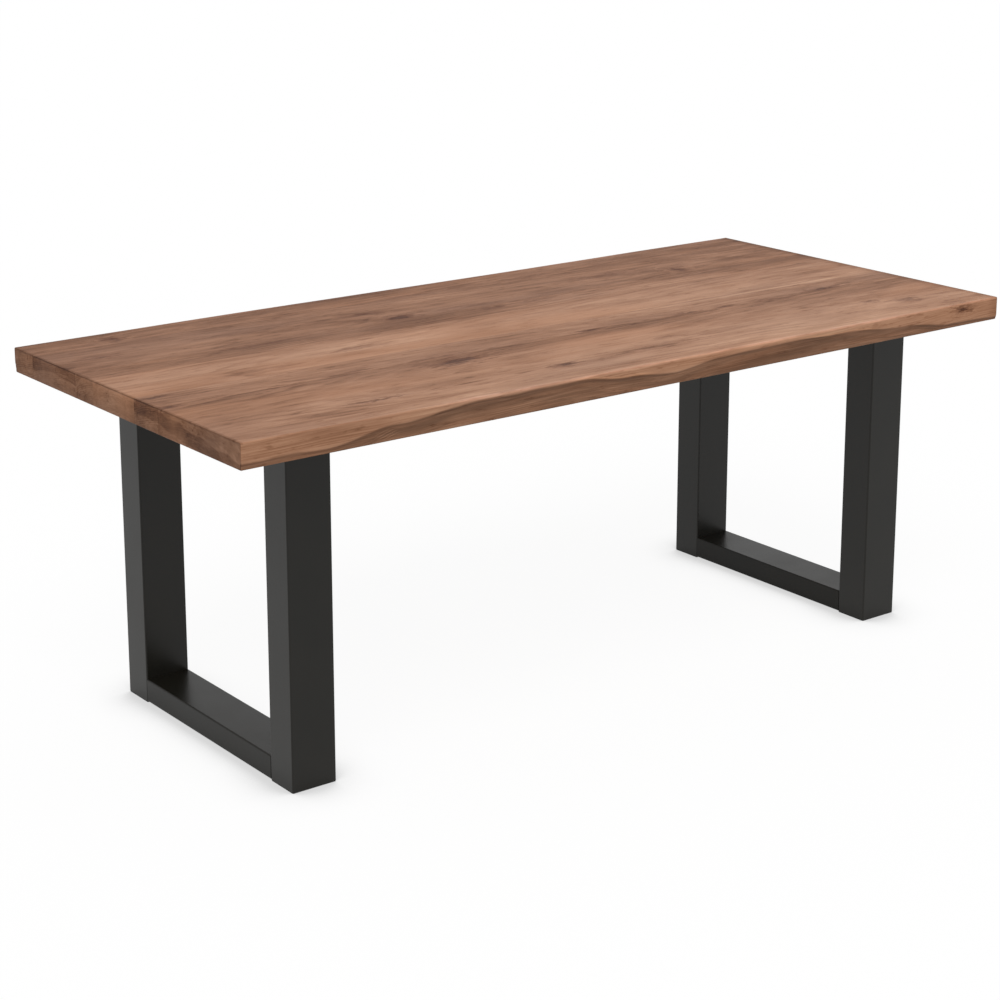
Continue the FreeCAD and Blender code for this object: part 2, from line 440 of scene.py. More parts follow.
def seam_side(y, inward):
    """(y, z, far from the crest) down a glued side from the top face to the underside."""
    eased = y + inward * SEAM_EASE
    rows = ((eased + inward * SUPPORT_GAP, TOP), (eased, TOP), (y, TOP - SEAM_EASE),
            (y, UNDERSIDE + SEAM_EASE), (eased, UNDERSIDE), (eased + inward * SUPPORT_GAP, UNDERSIDE))
    return [(row_y, z, FAR_FROM_CREST) for row_y, z in rows]


def board_section(x, front, back, inset):
    """One closed section of a board at x, drawn in by inset on its free faces."""
    if front is None:
        front_points = live_side(x, FRONT_CREST, -1)
    else:
        front_points = seam_side(front, 1)
    if back is None:
        back_points = live_side(x, REAR_CREST, 1)
    else:
        back_points = seam_side(back, -1)
    loop = front_points + back_points[::-1]
    middle = (TOP + UNDERSIDE) / 2
    squeeze = 1 - 2 * inset / THICKNESS
    drawn = []
    for number, (y, z, below) in enumerate(loop):
        on_front = number < len(front_points)
        free = front is None if on_front else back is None
        if free:
            y += inset if on_front else -inset
        drawn.append((y, middle + (z - middle) * squeeze, below))
    return drawn


def stations():
    """(x, inset) along a board, with a rounding and one flat ring at both ends."""
    body = HALF_LENGTH - END_ROUNDING
    count = round(2 * body / STATION_PITCH)
    rows = [(-body + 2 * body * number / count, 0.0) for number in range(count + 1)]
    end = []
    for sine, cosine in quarter(ARRIS_STEPS)[1:]:
        end.append((body + END_ROUNDING * sine, END_ROUNDING * (1 - cosine)))
    end.append((HALF_LENGTH, END_ROUNDING + SUPPORT_GAP))
    start = [(-x, inset) for x, inset in reversed(end)]
    return start + rows + end


def closed_mesh(name, loops):
    """A closed mesh through equal loops of points, with a flat cap at both ends."""
    count = len(loops[0])
    faces = []
    for row in range(len(loops) - 1):
        near = row * count
        far = near + count
        for number in range(count):
            after = (number + 1) % count
            faces.append((near + number, far + number, far + after, near + after))
    last = (len(loops) - 1) * count
    faces.append(tuple(range(count)))
    faces.append(tuple(reversed(range(last, last + count))))
    mesh = bpy.data.meshes.new(name)
    mesh.from_pydata([point for loop in loops for point in loop], [], faces)
    return mesh


def mark_crest(mesh, below):
    """Notes at each face's corners how far below the crest they lie; the caps are far from it."""
    crest = mesh.attributes.new("below_crest", "FLOAT", "CORNER")
    for polygon in mesh.polygons:
        capped = len(polygon.vertices) > 4
        for loop in polygon.loop_indices:
            vertex = mesh.loops[loop].vertex_index
            crest.data[loop].value = FAR_FROM_CREST if capped else below[vertex]


def face_outwards(mesh):
    turned = bmesh.new()
    turned.from_mesh(mesh)
    bmesh.ops.recalc_face_normals(turned, faces=turned.faces)
    turned.to_mesh(mesh)
    turned.free()


def board(name, front, back, material):
    """A whole board as one closed mesh; front or back is None where it has a live edge."""
    sections = [(x, board_section(x, front, back, inset)) for x, inset in stations()]
    loops = [[(x, y, z) for y, z, _ in section] for x, section in sections]
    mesh = closed_mesh(name + "_wood", loops)
    mark_crest(mesh, [value for _, section in sections for _, _, value in section])
    face_outwards(mesh)
    mesh.shade_smooth()
    mesh.materials.append(material)
    piece = bpy.data.objects.new(name + "_wood", mesh)
    bpy.context.collection.objects.link(piece)
    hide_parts(name)
    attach(piece, "root")


# ---- Wood ----

Knot = namedtuple("Knot", "x y length width strength")
Patch = namedtuple("Patch", "x y length width tone")
Row = namedtuple("Row", "y half_width strength start end")
End = namedtuple("End", "height slope half_height tone seam_tone")
Grain = namedtuple("Grain", "seed tone lean pith_y pith_depth pith_slope warmth end knots patches rows")

WOOD_DARK = srgb(80, 47, 31)
WOOD_BROWN = srgb(121, 82, 58)
WOOD_MIDDLE = srgb(153, 110, 83)
WOOD_LIGHT = srgb(180, 136, 107)
WOOD_PALE = srgb(206, 165, 135)
KNOT_HEART = srgb(74, 42, 27)
KNOT_HALO = srgb(106, 66, 45)
COOL_GREY = srgb(128, 94, 76)
WARM_TAN = srgb(180, 128, 94)
WOOD_TONES = ((0.0, WOOD_DARK), (0.27, WOOD_BROWN), (0.5, WOOD_MIDDLE), (0.75, WOOD_LIGHT),
              (1.0, WOOD_PALE))
MIDDLE_TONE = 0.5

# Noises in the wood: along the board, across it and down through it. A board shifts them by its
# seed times these numbers.
SEED_TURNS = (1.0, 0.37, 0.71)
WANDER = Layer((2.2, 17.0, 17.0), 3.0)
WANDER_REACH = (0.050, 0.014, 0.014)
PITH_WAVER = Layer((1.3, 4.0, 4.0), 1.0, amount=0.004)
FIBRE = Layer((11.0, 620.0, 620.0), 2.0, 0.6)
PORES = Layer((75.0, 2300.0, 2300.0), 1.0)
FLECKS = Layer((20.0, 90.0, 90.0), 3.0, 0.6)
DASHES = Layer((38.0, 330.0, 330.0), 2.0, 0.6)
CLOUDS = Layer((5.5, 30.0, 30.0), 2.0, 0.5, amount=0.09)
HUE = Layer((1.6, 7.0, 7.0))
ROW_BREAKS = Layer((13.0, 90.0, 90.0), 3.0, 0.65)

# Noises that follow the growth rings: along the board, away from the pith and across
RING_STRENGTH = Layer((4.5, 70.0, 0.0))
BROAD_STREAKS = Layer((1.7, 42.0, 9.0), 3.0, 0.55, amount=0.15)
STREAKS = Layer((8.5, 250.0, 75.0), 3.0, 0.6, amount=0.12)

# Growth rings: the ring's share that the late wood takes, and its tone from weak to strong
RING_SPACING = 0.0042
LATE_WOOD_POWER = 3.0
LATE_WOOD_ENDS = (1.0, 0.86)
RING_TONES = (0.38, 0.75, -0.04, -0.34)

# The noise levels between which a mark appears, and what it adds to the tone
PORE_LEVELS = (0.60, 0.72)
FLECK_LEVELS = (0.57, 0.74)
FLECKS_IN_HALO = 0.14
DASH_LEVELS = (0.62, 0.74)
FIBRE_TONE = 0.26
PORE_TONE = -0.06
FLECK_TONE = -0.20
DASH_TONE = -0.14

# Patches and rows: where they fade, as shares of their size, and how rows break up
PATCH_RIM = (0.3, 1.6)
ROW_CORE = 0.2
ROW_END_BLUR = 0.05
ROW_BREAK_LEVELS = (0.48, 0.62)
ROW_SHIFT = 100

# Cooler and warmer areas: the hue levels and how much of the other colour they take
WARMTH_WEIGHT = 0.25
COOL_SHARE = (0.50, 0.25, 0.0, 0.40)
WARM_SHARE = (0.50, 0.80, 0.0, 0.45)

# Knots: how deep they go, how ragged they are, and where heart and halo fade, 1 at the rim
KNOT_DEPTH = 0.09
END_KNOT_DEPTH = 0.012
END_REACH = 0.96
KNOT_REACH = 3.2
KNOT_PUSH = 0.42
RAGGED = Layer((26.0, 60.0, 60.0), 3.0, 0.65)
RAGGED_REACH = (0.080, 0.036, 0.036)
FRAYED = Layer((20.0, 170.0, 170.0), 4.0, 0.7, amount=0.95)
HEART_FRAY = 0.6
HALO_FRAY = 1.5
HEART_RIM = (0.35, 1.35)
HALO_RIM = (0.6, 2.3)
HALO_SHARE = (0.05, 0.85, 0.0, 0.70)
SPECKLE = Layer((110.0, 260.0, 260.0), 3.0, 0.7)
CORE_LEVELS = (0.45, 0.95)
CORE_SHARE = 0.85

# Sawn ends
END_FACING = (0.5, 0.95)
END_GRAIN_SHADE = (0.635, 0.63, 0.625, 1.0)
END_TONE_KEPT = 0.45
END_WAVER = Layer((5.0, 12.0, 12.0), 2.0, shift=(7.0, 1.0, 4.0), amount=0.008)
END_BAND_BLUR = 0.05
END_SEAM_WIDTH = 0.0025
END_SEAM_CORE = 0.4
DARK_END_REACH = 0.040
DARK_END_TONE = -0.18
END_ARRIS_SHADE = (0.74, 0.71, 0.69, 1.0)
END_ARRIS_FROM_END = (0.006, 0.003)
END_ARRIS_FROM_TOP = (0.005, 0.002)

# Live edges, by metres below the crest; the wood below it is darker by its own tone and by painted
# shade
BARK_TONE_AND_SHADE_DARK = (0.41, 0.395, 0.385, 1.0)
BARK_TONE_AND_SHADE_LIGHT = (0.68, 0.65, 0.63, 1.0)
BARK_TONE_AND_SHADE_LEVELS = (0.36, 0.64)
BARK_TONE_AND_SHADE_STARTS = (-0.001, 0.003)
BARK_FLOW = Layer((5.0, 260.0, 0.0), 4.0, 0.65)
BARK_CLOUD = Layer((4.0, 45.0, 0.0), 2.0, 0.6, (0.0, 0.0, 3.0))
CREST_BEND = Layer((7.0, 20.0, 28.0), 2.0, amount=0.0030)
# A dark line along the crest: painted shade in the crease
CREST_SHADE_LINE = (0.58, 0.54, 0.52, 1.0)
CREST_SHADE_STARTS = (-0.0020, 0.0010)
CREST_SHADE_ENDS = (0.0070, 0.0025)
CREST_SHADE_BREAKS = Layer((4.5, 0.0, 0.0), 2.0, 0.6, (0.0, 0.0, 8.0))
CREST_SHADE_SHARE = (0.35, 0.62, 0.15, 0.70)
# Light ribs beside the crest: painted highlights
RIB_HIGHLIGHT = (1.22, 1.20, 1.16, 1.0)
RIB_HIGHLIGHT_SPANS = ((-0.23, -0.04), (0.38, 0.60))
RIB_HIGHLIGHT_STARTS = (-0.0045, -0.0025)
RIB_HIGHLIGHT_ENDS = (0.0010, -0.0010)
RIB_HIGHLIGHT_BLUR = 0.03
LEFT_END_CREST_LIFT = 0.0035
LEFT_END_LIFT_GROWS = (-0.82, -0.90)

# A painted highlight along the upper arris of the live edges, which is weaker towards the left end
ARRIS_HIGHLIGHT = (1.42, 1.43, 1.60, 1.0)
ARRIS_HIGHLIGHT_FROM_EDGE = (0.018, 0.004)
ARRIS_HIGHLIGHT_FROM_TOP = (0.0045, 0.0015)
ARRIS_HIGHLIGHT_BREAKS = Layer((9.0, 0.0, 0.0), 3.0, 0.6, (0.0, 0.0, 5.0))
ARRIS_HIGHLIGHT_BREAK_SHARE = (0.3, 0.7, 0.3, 1.0)
WEAKER_HIGHLIGHT_SHARE = 0.25
WEAKER_HIGHLIGHT_UNTIL = -0.55
WEAKER_HIGHLIGHT_BLUR = 0.06

# The wood's surface: bumps as distance and strength, roughness by tone and pores, and gloss
FIBRE_HEIGHT = 0.6
GRAIN_BUMP = (0.00012, 0.55)
KNOT_BUMP = (0.0006, 0.6)
DARK_ROUGHNESS = 0.62
ROUGHNESS_BY_TONE = -0.16
PORE_ROUGHNESS = 0.12
WOOD_GLOSS = 0.11

# How a sawn end looks: a darker band across it, in shares of the thickness, and the seams
PLAIN_END = End(0.5, 0.0, 0.3, 0.0, -0.08)
SLOPING_END = End(0.99, 2.295, 0.27, -0.22, -0.10)

# The figure of each board, with places in metres on the top face
GRAINS = {
    "rear_live_edge_board": Grain(
        1.7, -0.15, -1.5, 0.35, 0.34, 0.020, -0.1, PLAIN_END,
        (Knot(-0.805, 0.390, 0.016, 0.022, 0.75), Knot(-0.880, 0.378, 0.022, 0.008, 0.5),
         Knot(0.278, 0.372, 0.050, 0.005, 0.6), Knot(-0.076, 0.376, 0.060, 0.005, 0.5)),
        (Patch(0.050, 0.405, 0.260, 0.030, 0.06),),
        (Row(0.374, 0.006, 0.18, -0.50, 0.40),),
    ),
    "rear_wide_board": Grain(
        5.3, -0.13, 0.0, 0.24, 0.42, -0.018, -0.15, End(0.80, 0.0, 0.28, -0.22, -0.08),
        (Knot(-0.208, 0.197, 0.026, 0.017, 1.0), Knot(0.626, 0.222, 0.017, 0.022, 0.8),
         Knot(0.460, 0.276, 0.055, 0.017, 0.55), Knot(-0.254, 0.272, 0.045, 0.007, 0.7),
         Knot(-0.898, 0.266, 0.035, 0.010, 0.65), Knot(-0.020, 0.205, 0.045, 0.006, 0.5)),
        (Patch(-0.800, 0.310, 0.300, 0.060, 0.06), Patch(0.900, 0.240, 0.150, 0.060, -0.05),
         Patch(0.150, 0.325, 0.800, 0.022, 0.04)),
        (Row(0.276, 0.007, 0.24, -0.55, -0.20), Row(0.196, 0.009, 0.18, -0.45, 0.05)),
    ),
    "rear_narrow_board": Grain(
        9.1, -0.10, -1.2, 0.05, 0.30, 0.022, 0.0, End(0.0, 0.0, 0.3, -0.06, 0.12),
        (Knot(-0.600, 0.168, 0.065, 0.006, 0.6), Knot(0.140, 0.161, 0.040, 0.010, 0.5),
         Knot(0.010, 0.158, 0.030, 0.012, 0.6)),
        (Patch(-0.120, 0.140, 0.190, 0.050, -0.14), Patch(0.400, 0.130, 0.260, 0.050, 0.11),
         Patch(-0.450, 0.130, 0.130, 0.030, 0.08)),
        (Row(0.173, 0.004, 0.22, -1.00, -0.80),),
    ),
    "middle_board": Grain(
        13.9, 0.11, -0.3, -0.01, 0.45, 0.016, 0.35, PLAIN_END,
        (Knot(-0.430, 0.020, 0.050, 0.011, 0.45), Knot(-0.700, -0.020, 0.070, 0.006, 0.4)),
        (Patch(-0.810, 0.040, 0.110, 0.050, 0.11), Patch(-0.380, 0.040, 0.200, 0.045, 0.11),
         Patch(-0.600, -0.012, 0.330, 0.036, -0.13), Patch(-0.140, -0.036, 0.150, 0.038, -0.18),
         Patch(0.900, 0.060, 0.200, 0.060, -0.08), Patch(-0.930, -0.046, 0.120, 0.016, -0.15),
         Patch(-0.500, 0.100, 0.600, 0.018, -0.09), Patch(0.450, 0.102, 0.500, 0.016, -0.10)),
        (Row(-0.024, 0.006, 0.24, -1.00, -0.60), Row(0.004, 0.006, 0.16, -0.75, -0.50),
         Row(-0.0570, 0.004, -0.20, 0.15, 1.00)),
    ),
    "front_narrow_board": Grain(
        17.3, 0.01, 0.9, -0.17, 0.36, -0.020, -0.05, SLOPING_END,
        (Knot(-0.974, -0.078, 0.035, 0.006, 0.8), Knot(0.746, -0.146, 0.045, 0.012, 0.8),
         Knot(0.050, -0.148, 0.022, 0.008, 0.8), Knot(0.325, -0.149, 0.036, 0.006, 0.75),
         Knot(-0.560, -0.149, 0.030, 0.007, 0.5), Knot(-0.345, -0.146, 0.035, 0.006, 0.6),
         Knot(0.425, -0.153, 0.028, 0.008, 0.8), Knot(0.555, -0.151, 0.026, 0.007, 0.6)),
        (Patch(-0.180, -0.100, 0.160, 0.045, -0.10), Patch(-0.950, -0.080, 0.100, 0.025, -0.14),
         Patch(0.580, -0.066, 0.330, 0.007, 0.22)),
        (Row(-0.149, 0.006, 0.26, -0.95, 0.90),),
    ),
    "front_live_edge_board": Grain(
        21.1, 0.06, -0.75, -0.27, 0.46, 0.019, 0.05, SLOPING_END,
        (Knot(-0.342, -0.198, 0.048, 0.020, 0.9), Knot(-0.184, -0.352, 0.022, 0.011, 0.8),
         Knot(-0.640, -0.352, 0.050, 0.005, 0.7), Knot(0.070, -0.346, 0.060, 0.012, 0.4),
         Knot(0.126, -0.291, 0.020, 0.010, 0.4), Knot(0.734, -0.309, 0.015, 0.009, 0.65),
         Knot(0.816, -0.346, 0.026, 0.015, 0.6), Knot(-0.980, -0.160, 0.020, 0.009, 0.8),
         Knot(0.580, -0.162, 0.040, 0.006, 0.6), Knot(-0.754, -0.160, 0.030, 0.005, 0.5)),
        (Patch(0.000, -0.170, 1.300, 0.040, -0.03), Patch(-0.900, -0.300, 0.220, 0.150, -0.07),
         Patch(0.550, -0.340, 0.260, 0.080, 0.09), Patch(-0.430, -0.205, 0.120, 0.035, 0.09),
         Patch(-0.850, -0.190, 0.150, 0.030, -0.05), Patch(0.880, -0.400, 0.130, 0.050, -0.07)),
        (Row(-0.160, 0.005, 0.22, -1.00, 0.90), Row(-0.351, 0.005, 0.26, -0.75, 0.15)),
    ),
}

# The dark knot in the front live edge
EDGE_KNOT_PLACE = (0.884, -0.4575, 0.7455)
EDGE_KNOT_SIZE = (0.020, 0.040, 0.0085)
EDGE_KNOT_STRENGTH = 0.85

# Pale hair cracks low on the front live edge
SPLIT_PLACE = (-0.688, -0.4530, 0.7220)
SPLIT_REACH = 0.034
SPLIT_DEPTH = 0.02
SPLIT_HEIGHT_SHARE = 0.4
SPLIT_SINE = 0.28
SPLIT_COSINE = 0.96
SPLIT_SPACING = 0.0052
SPLIT_WIDTH = 0.0008
SPLIT_CORE = 0.3
SPLIT_WAVER = Layer((30.0, 1.0, 60.0), 2.0, shift=(3.0, 0.0, 9.0), amount=0.0010)
SPLIT_SHARE = (0.4, 1.0, 0.50, 0.0)


def spot_distance(shader, place, centre, size):
    """The distance from a spot's middle, 1 at its rim."""
    stretch = tuple(1 / part for part in size)
    shift = tuple(-start / part for start, part in zip(centre, size))
    return shader.vector("LENGTH", shader.stretched(place, stretch, shift))


def knot_spots(grain, live_front):
    """(centre, size, strength) of each of a board's knots."""
    spots = []
    for knot in grain.knots:
        depth = END_KNOT_DEPTH if abs(knot.x) > END_REACH * HALF_LENGTH else KNOT_DEPTH
        spots.append(((knot.x, knot.y, TOP), (knot.length, knot.width, depth), knot.strength))
    if live_front:
        spots.append((EDGE_KNOT_PLACE, EDGE_KNOT_SIZE, EDGE_KNOT_STRENGTH))
    return spots


def knots_of(shader, place, seed, grain, live_front):
    """(knot, halo round it, how far the rings are pushed aside) at each point."""
    ragged = shader.layer(RAGGED, place, seed, colour=True)
    torn = shader.vector("MULTIPLY_ADD", ragged, RAGGED_REACH, place)
    torn = shader.vector("ADD", torn, less_half(RAGGED_REACH))
    frayed = shader.swing(FRAYED, place, seed)
    heart, halo, push = 0.0, 0.0, 0.0
    for centre, size, strength in knot_spots(grain, live_front):
        away = spot_distance(shader, torn, centre, size)
        rim = shader.math("MULTIPLY_ADD", frayed, HEART_FRAY, away)
        tail = shader.math("MULTIPLY_ADD", frayed, HALO_FRAY, away)
        heart = shader.math("MAXIMUM", heart, shader.fade(rim, *HEART_RIM, strength, 0.0))
        halo = shader.math("MAXIMUM", halo, shader.fade(tail, *HALO_RIM, strength, 0.0))
        aside = KNOT_PUSH * size[1] * strength
        push = shader.add(push, shader.fade(away, 0.0, KNOT_REACH, aside, 0.0))
    return heart, halo, push


def pith_distance(shader, place, warped, push, grain, seed):
    """The distance from the pith, the tree's middle, which runs along the board below it."""
    x, y, z = shader.split(warped)
    rise = shader.math("MULTIPLY_ADD", x, -grain.pith_slope, grain.pith_depth - TOP)
    across = shader.math("ADD", y, -grain.pith_y)
    radius = shader.vector("LENGTH", shader.combine(0.0, across, shader.add(z, rise)))
    return shader.add(radius, push, shader.swing(PITH_WAVER, place, seed))


def rings_of(shader, x, radius):
    """Growth rings: pale early wood that darkens to a thin late line."""
    ring = shader.math("FRACT", shader.times(radius, 1 / RING_SPACING))
    late = shader.math("POWER", ring, LATE_WOOD_POWER)
    late = shader.times(late, shader.fade(ring, *LATE_WOOD_ENDS))
    strength = shader.layer(RING_STRENGTH, shader.combine(x, radius, 0.0))
    return shader.times(late, shader.fade(strength, *RING_TONES))


def streaks_of(shader, warped, radius, seed):
    """Streaks that follow the rings and the length of the tree."""
    x, y, _ = shader.split(warped)
    along_rings = shader.combine(x, radius, y)
    broad = shader.swing(BROAD_STREAKS, along_rings, seed)
    streak = shader.swing(STREAKS, along_rings, seed)
    return shader.add(broad, streak, shader.swing(CLOUDS, warped, seed))


def patches_of(shader, warped, grain, tone):
    """Broad lighter and darker places on top of the board's tone."""
    for patch in grain.patches:
        size = (patch.length, patch.width, 1.0)
        away = spot_distance(shader, warped, (patch.x, patch.y, TOP), size)
        tone = shader.add(tone, shader.fade(away, *PATCH_RIM, patch.tone, 0.0))
    return tone


def rows_of(shader, straight, grain, tone):
    """Broken dark lines along the board, and light ones where the strength is below nought."""
    x, y, _ = shader.split(straight)
    for row in grain.rows:
        away = shader.math("ABSOLUTE", shader.math("ADD", y, -row.y))
        band = shader.fade(away, ROW_CORE * row.half_width, row.half_width, row.strength, 0.0)
        begun = shader.fade(x, row.start - ROW_END_BLUR, row.start + ROW_END_BLUR)
        over = shader.fade(x, row.end - ROW_END_BLUR, row.end + ROW_END_BLUR, 1.0, 0.0)
        breaks = shader.layer(ROW_BREAKS, straight, (0.0, 0.0, ROW_SHIFT * row.y))
        broken = shader.fade(breaks, *ROW_BREAK_LEVELS)
        band = shader.times(shader.times(band, broken), shader.times(begun, over))
        tone = shader.math("SUBTRACT", tone, band)
    return tone


def board_tone(shader, place, warped, radius, grain, seed, middle_y):
    """The board's own tone with its streaks, rings, patches and rows."""
    x, y, _ = shader.split(place)
    own = MIDDLE_TONE + grain.tone - grain.lean * middle_y
    tone = shader.math("MULTIPLY_ADD", y, grain.lean, own)
    tone = shader.add(tone, streaks_of(shader, warped, radius, seed), rings_of(shader, x, radius))
    tone = patches_of(shader, warped, grain, tone)
    dark_end = shader.fade(x, HALF_LENGTH - DARK_END_REACH, HALF_LENGTH, 0.0, DARK_END_TONE)
    straight = shader.vector("ADD", warped, less_half(WANDER_REACH))
    return rows_of(shader, straight, grain, shader.add(tone, dark_end))


def marked_tone(shader, place, warped, halo, seed, tone):
    """(tone, fibre, pores): the tone with fibres, pores, flecks and dashes on it."""
    fibre = shader.layer(FIBRE, place, seed)
    pores = shader.fade(shader.layer(PORES, place, seed), *PORE_LEVELS)
    more_flecks = shader.math("MULTIPLY_ADD", halo, FLECKS_IN_HALO, shader.layer(FLECKS, warped, seed))
    flecks = shader.fade(more_flecks, *FLECK_LEVELS)
    dashes = shader.fade(shader.layer(DASHES, warped, seed), *DASH_LEVELS)
    tone = shader.math("MULTIPLY_ADD", fibre, FIBRE_TONE, shader.add(tone, -FIBRE_TONE / 2))
    tone = shader.math("MULTIPLY_ADD", pores, PORE_TONE, tone)
    tone = shader.math("MULTIPLY_ADD", flecks, FLECK_TONE, tone)
    return shader.math("MULTIPLY_ADD", dashes, DASH_TONE, tone), fibre, pores


def tinted(shader, place, colour, grain, seed):
    """The colour with its cooler and warmer areas."""
    hue = shader.layer(HUE, place, (seed[2], seed[0], seed[1]))
    hue = shader.math("ADD", hue, WARMTH_WEIGHT * grain.warmth)
    colour = shader.mix(shader.fade(hue, *COOL_SHARE), colour, COOL_GREY)
    return shader.mix(shader.fade(hue, *WARM_SHARE), colour, WARM_TAN)


def knotted(shader, place, colour, heart, halo, seed):
    """(colour, core): the colour with its knots, each a dark heart in a reddish halo."""
    colour = shader.mix(shader.fade(halo, *HALO_SHARE), colour, KNOT_HALO)
    speckle = shader.math("MULTIPLY_ADD", shader.layer(SPECKLE, place, seed), 1.0, -0.5)
    core = shader.fade(shader.add(heart, speckle), *CORE_LEVELS)
    return shader.mix(shader.times(core, CORE_SHARE), colour, KNOT_HEART), core


def end_grain_share(shader):
    """1 on the sawn ends and nought on the other faces."""
    facing = shader.split(shader.node("NewGeometry").outputs["Normal"])
    return shader.fade(shader.math("ABSOLUTE", facing[0]), *END_FACING)


def end_change(shader, place, grain, front, back):
    """What a sawn end adds to the tone: less of the board's own, a dark band and its seams."""
    _, y, z = shader.split(place)
    end = grain.end
    height = shader.add(z, shader.swing(END_WAVER, place), -UNDERSIDE)
    height = shader.math("DIVIDE", height, THICKNESS)
    centre = shader.math("MULTIPLY_ADD", y, end.slope, end.height)
    away = shader.math("ABSOLUTE", shader.math("SUBTRACT", height, centre))
    band = shader.fade(away, end.half_height - END_BAND_BLUR, end.half_height + END_BAND_BLUR,
                       end.tone, 0.0)
    from_front = shader.math("ABSOLUTE", shader.math("ADD", y, -front))
    from_back = shader.math("ABSOLUTE", shader.math("ADD", y, -back))
    beside = shader.math("MINIMUM", from_front, from_back)
    seams = shader.fade(beside, END_SEAM_CORE * END_SEAM_WIDTH, END_SEAM_WIDTH, end.seam_tone, 0.0)
    return shader.add(band, seams, (END_TONE_KEPT - 1) * grain.tone)


def end_colour(shader, place, colour, end_grain):
    """End grain drinks more oil, and so is darker; a thin band along each end's upper edge is darker
    still.
    """
    x, _, z = shader.split(place)
    colour = shader.mix(end_grain, colour, END_GRAIN_SHADE, "MULTIPLY")
    outermost = shader.fade_near(shader.math("ABSOLUTE", x), HALF_LENGTH, END_ARRIS_FROM_END)
    uppermost = shader.fade_near(z, TOP, END_ARRIS_FROM_TOP)
    return shader.mix(shader.times(outermost, uppermost), colour, END_ARRIS_SHADE, "MULTIPLY")


def live_edge_colour(shader, place, colour, seed):
    """Below the crest the bark-side wood shows in streaks, darker by its own tone and by painted shade
    of the downturned face.
    """
    x = shader.split(place)[0]
    below = shader.node("Attribute", attribute_name="below_crest").outputs["Fac"]
    lift = shader.fade(x, *LEFT_END_LIFT_GROWS, 0.0, LEFT_END_CREST_LIFT)
    below = shader.add(below, shader.swing(CREST_BEND, place, seed), lift)
    on_edge = shader.combine(x, below, 0.0)
    flow = shader.times(shader.layer(BARK_FLOW, on_edge), 0.5)
    shade = shader.add(flow, shader.times(shader.layer(BARK_CLOUD, on_edge), 0.5))
    # The wood below the crest: its own darker under-bark tone plus painted shade of the downturned
    # lower face.
    bark_and_shade = shader.mix(shader.fade(shade, *BARK_TONE_AND_SHADE_LEVELS), BARK_TONE_AND_SHADE_DARK, BARK_TONE_AND_SHADE_LIGHT)
    colour = shader.mix(shader.fade(below, *BARK_TONE_AND_SHADE_STARTS), colour, bark_and_shade, "MULTIPLY")

    # Painted shade: a dark line in the crease along the crest.
    line = shader.times(shader.fade(below, *CREST_SHADE_STARTS), shader.fade(below, *CREST_SHADE_ENDS))
    come_and_go = shader.layer(CREST_SHADE_BREAKS, place)
    line = shader.times(line, shader.fade(come_and_go, *CREST_SHADE_SHARE))
    colour = shader.mix(line, colour, CREST_SHADE_LINE, "MULTIPLY")
    # Painted highlights along the ribs beside the crest.
    rib_highlight = shader.times(shader.fade(below, *RIB_HIGHLIGHT_STARTS), shader.fade(below, *RIB_HIGHLIGHT_ENDS))
    for start, end in RIB_HIGHLIGHT_SPANS:
        begun = shader.fade(x, start - RIB_HIGHLIGHT_BLUR, start + RIB_HIGHLIGHT_BLUR)
        not_over = shader.fade(x, end + RIB_HIGHLIGHT_BLUR, end - RIB_HIGHLIGHT_BLUR)
        share = shader.times(rib_highlight, shader.times(begun, not_over))
        colour = shader.mix(share, colour, RIB_HIGHLIGHT, "MULTIPLY")
    return colour


def pale_splits(shader, place, colour):
    """A few pale hair cracks that rise across the grain low on the front edge."""
    x, _, z = shader.split(place)
    across = shader.add(shader.times(x, -SPLIT_SINE), shader.times(z, SPLIT_COSINE))
    across = shader.add(across, shader.swing(SPLIT_WAVER, place))
    line = shader.math("PINGPONG", across, 0.5 * SPLIT_SPACING)
    line = shader.fade(line, SPLIT_WIDTH, SPLIT_CORE * SPLIT_WIDTH)
    size = (SPLIT_REACH, SPLIT_DEPTH, SPLIT_HEIGHT_SHARE * SPLIT_REACH)
    away = spot_distance(shader, place, SPLIT_PLACE, size)
    share = shader.times(line, shader.fade(away, *SPLIT_SHARE))
    return shader.mix(share, colour, WOOD_LIGHT)


def painted_arris_highlight(shader, place, colour):
    """A painted highlight: a paler line along the upper arris of a live edge."""
    x, y, z = shader.split(place)
    near = shader.fade_near(shader.math("ABSOLUTE", y), HALF_WIDTH, ARRIS_HIGHLIGHT_FROM_EDGE)
    high = shader.fade_near(z, TOP, ARRIS_HIGHLIGHT_FROM_TOP)
    patchy = shader.fade(shader.layer(ARRIS_HIGHLIGHT_BREAKS, place), *ARRIS_HIGHLIGHT_BREAK_SHARE)
    along = shader.fade(x, WEAKER_HIGHLIGHT_UNTIL - WEAKER_HIGHLIGHT_BLUR, WEAKER_HIGHLIGHT_UNTIL + WEAKER_HIGHLIGHT_BLUR,
                        WEAKER_HIGHLIGHT_SHARE, 1.0)
    arris_light = shader.times(shader.times(near, high), shader.times(patchy, along))
    # Painted highlight: the upper arris made paler, as if it caught the light.
    return shader.mix(arris_light, colour, ARRIS_HIGHLIGHT, "MULTIPLY")


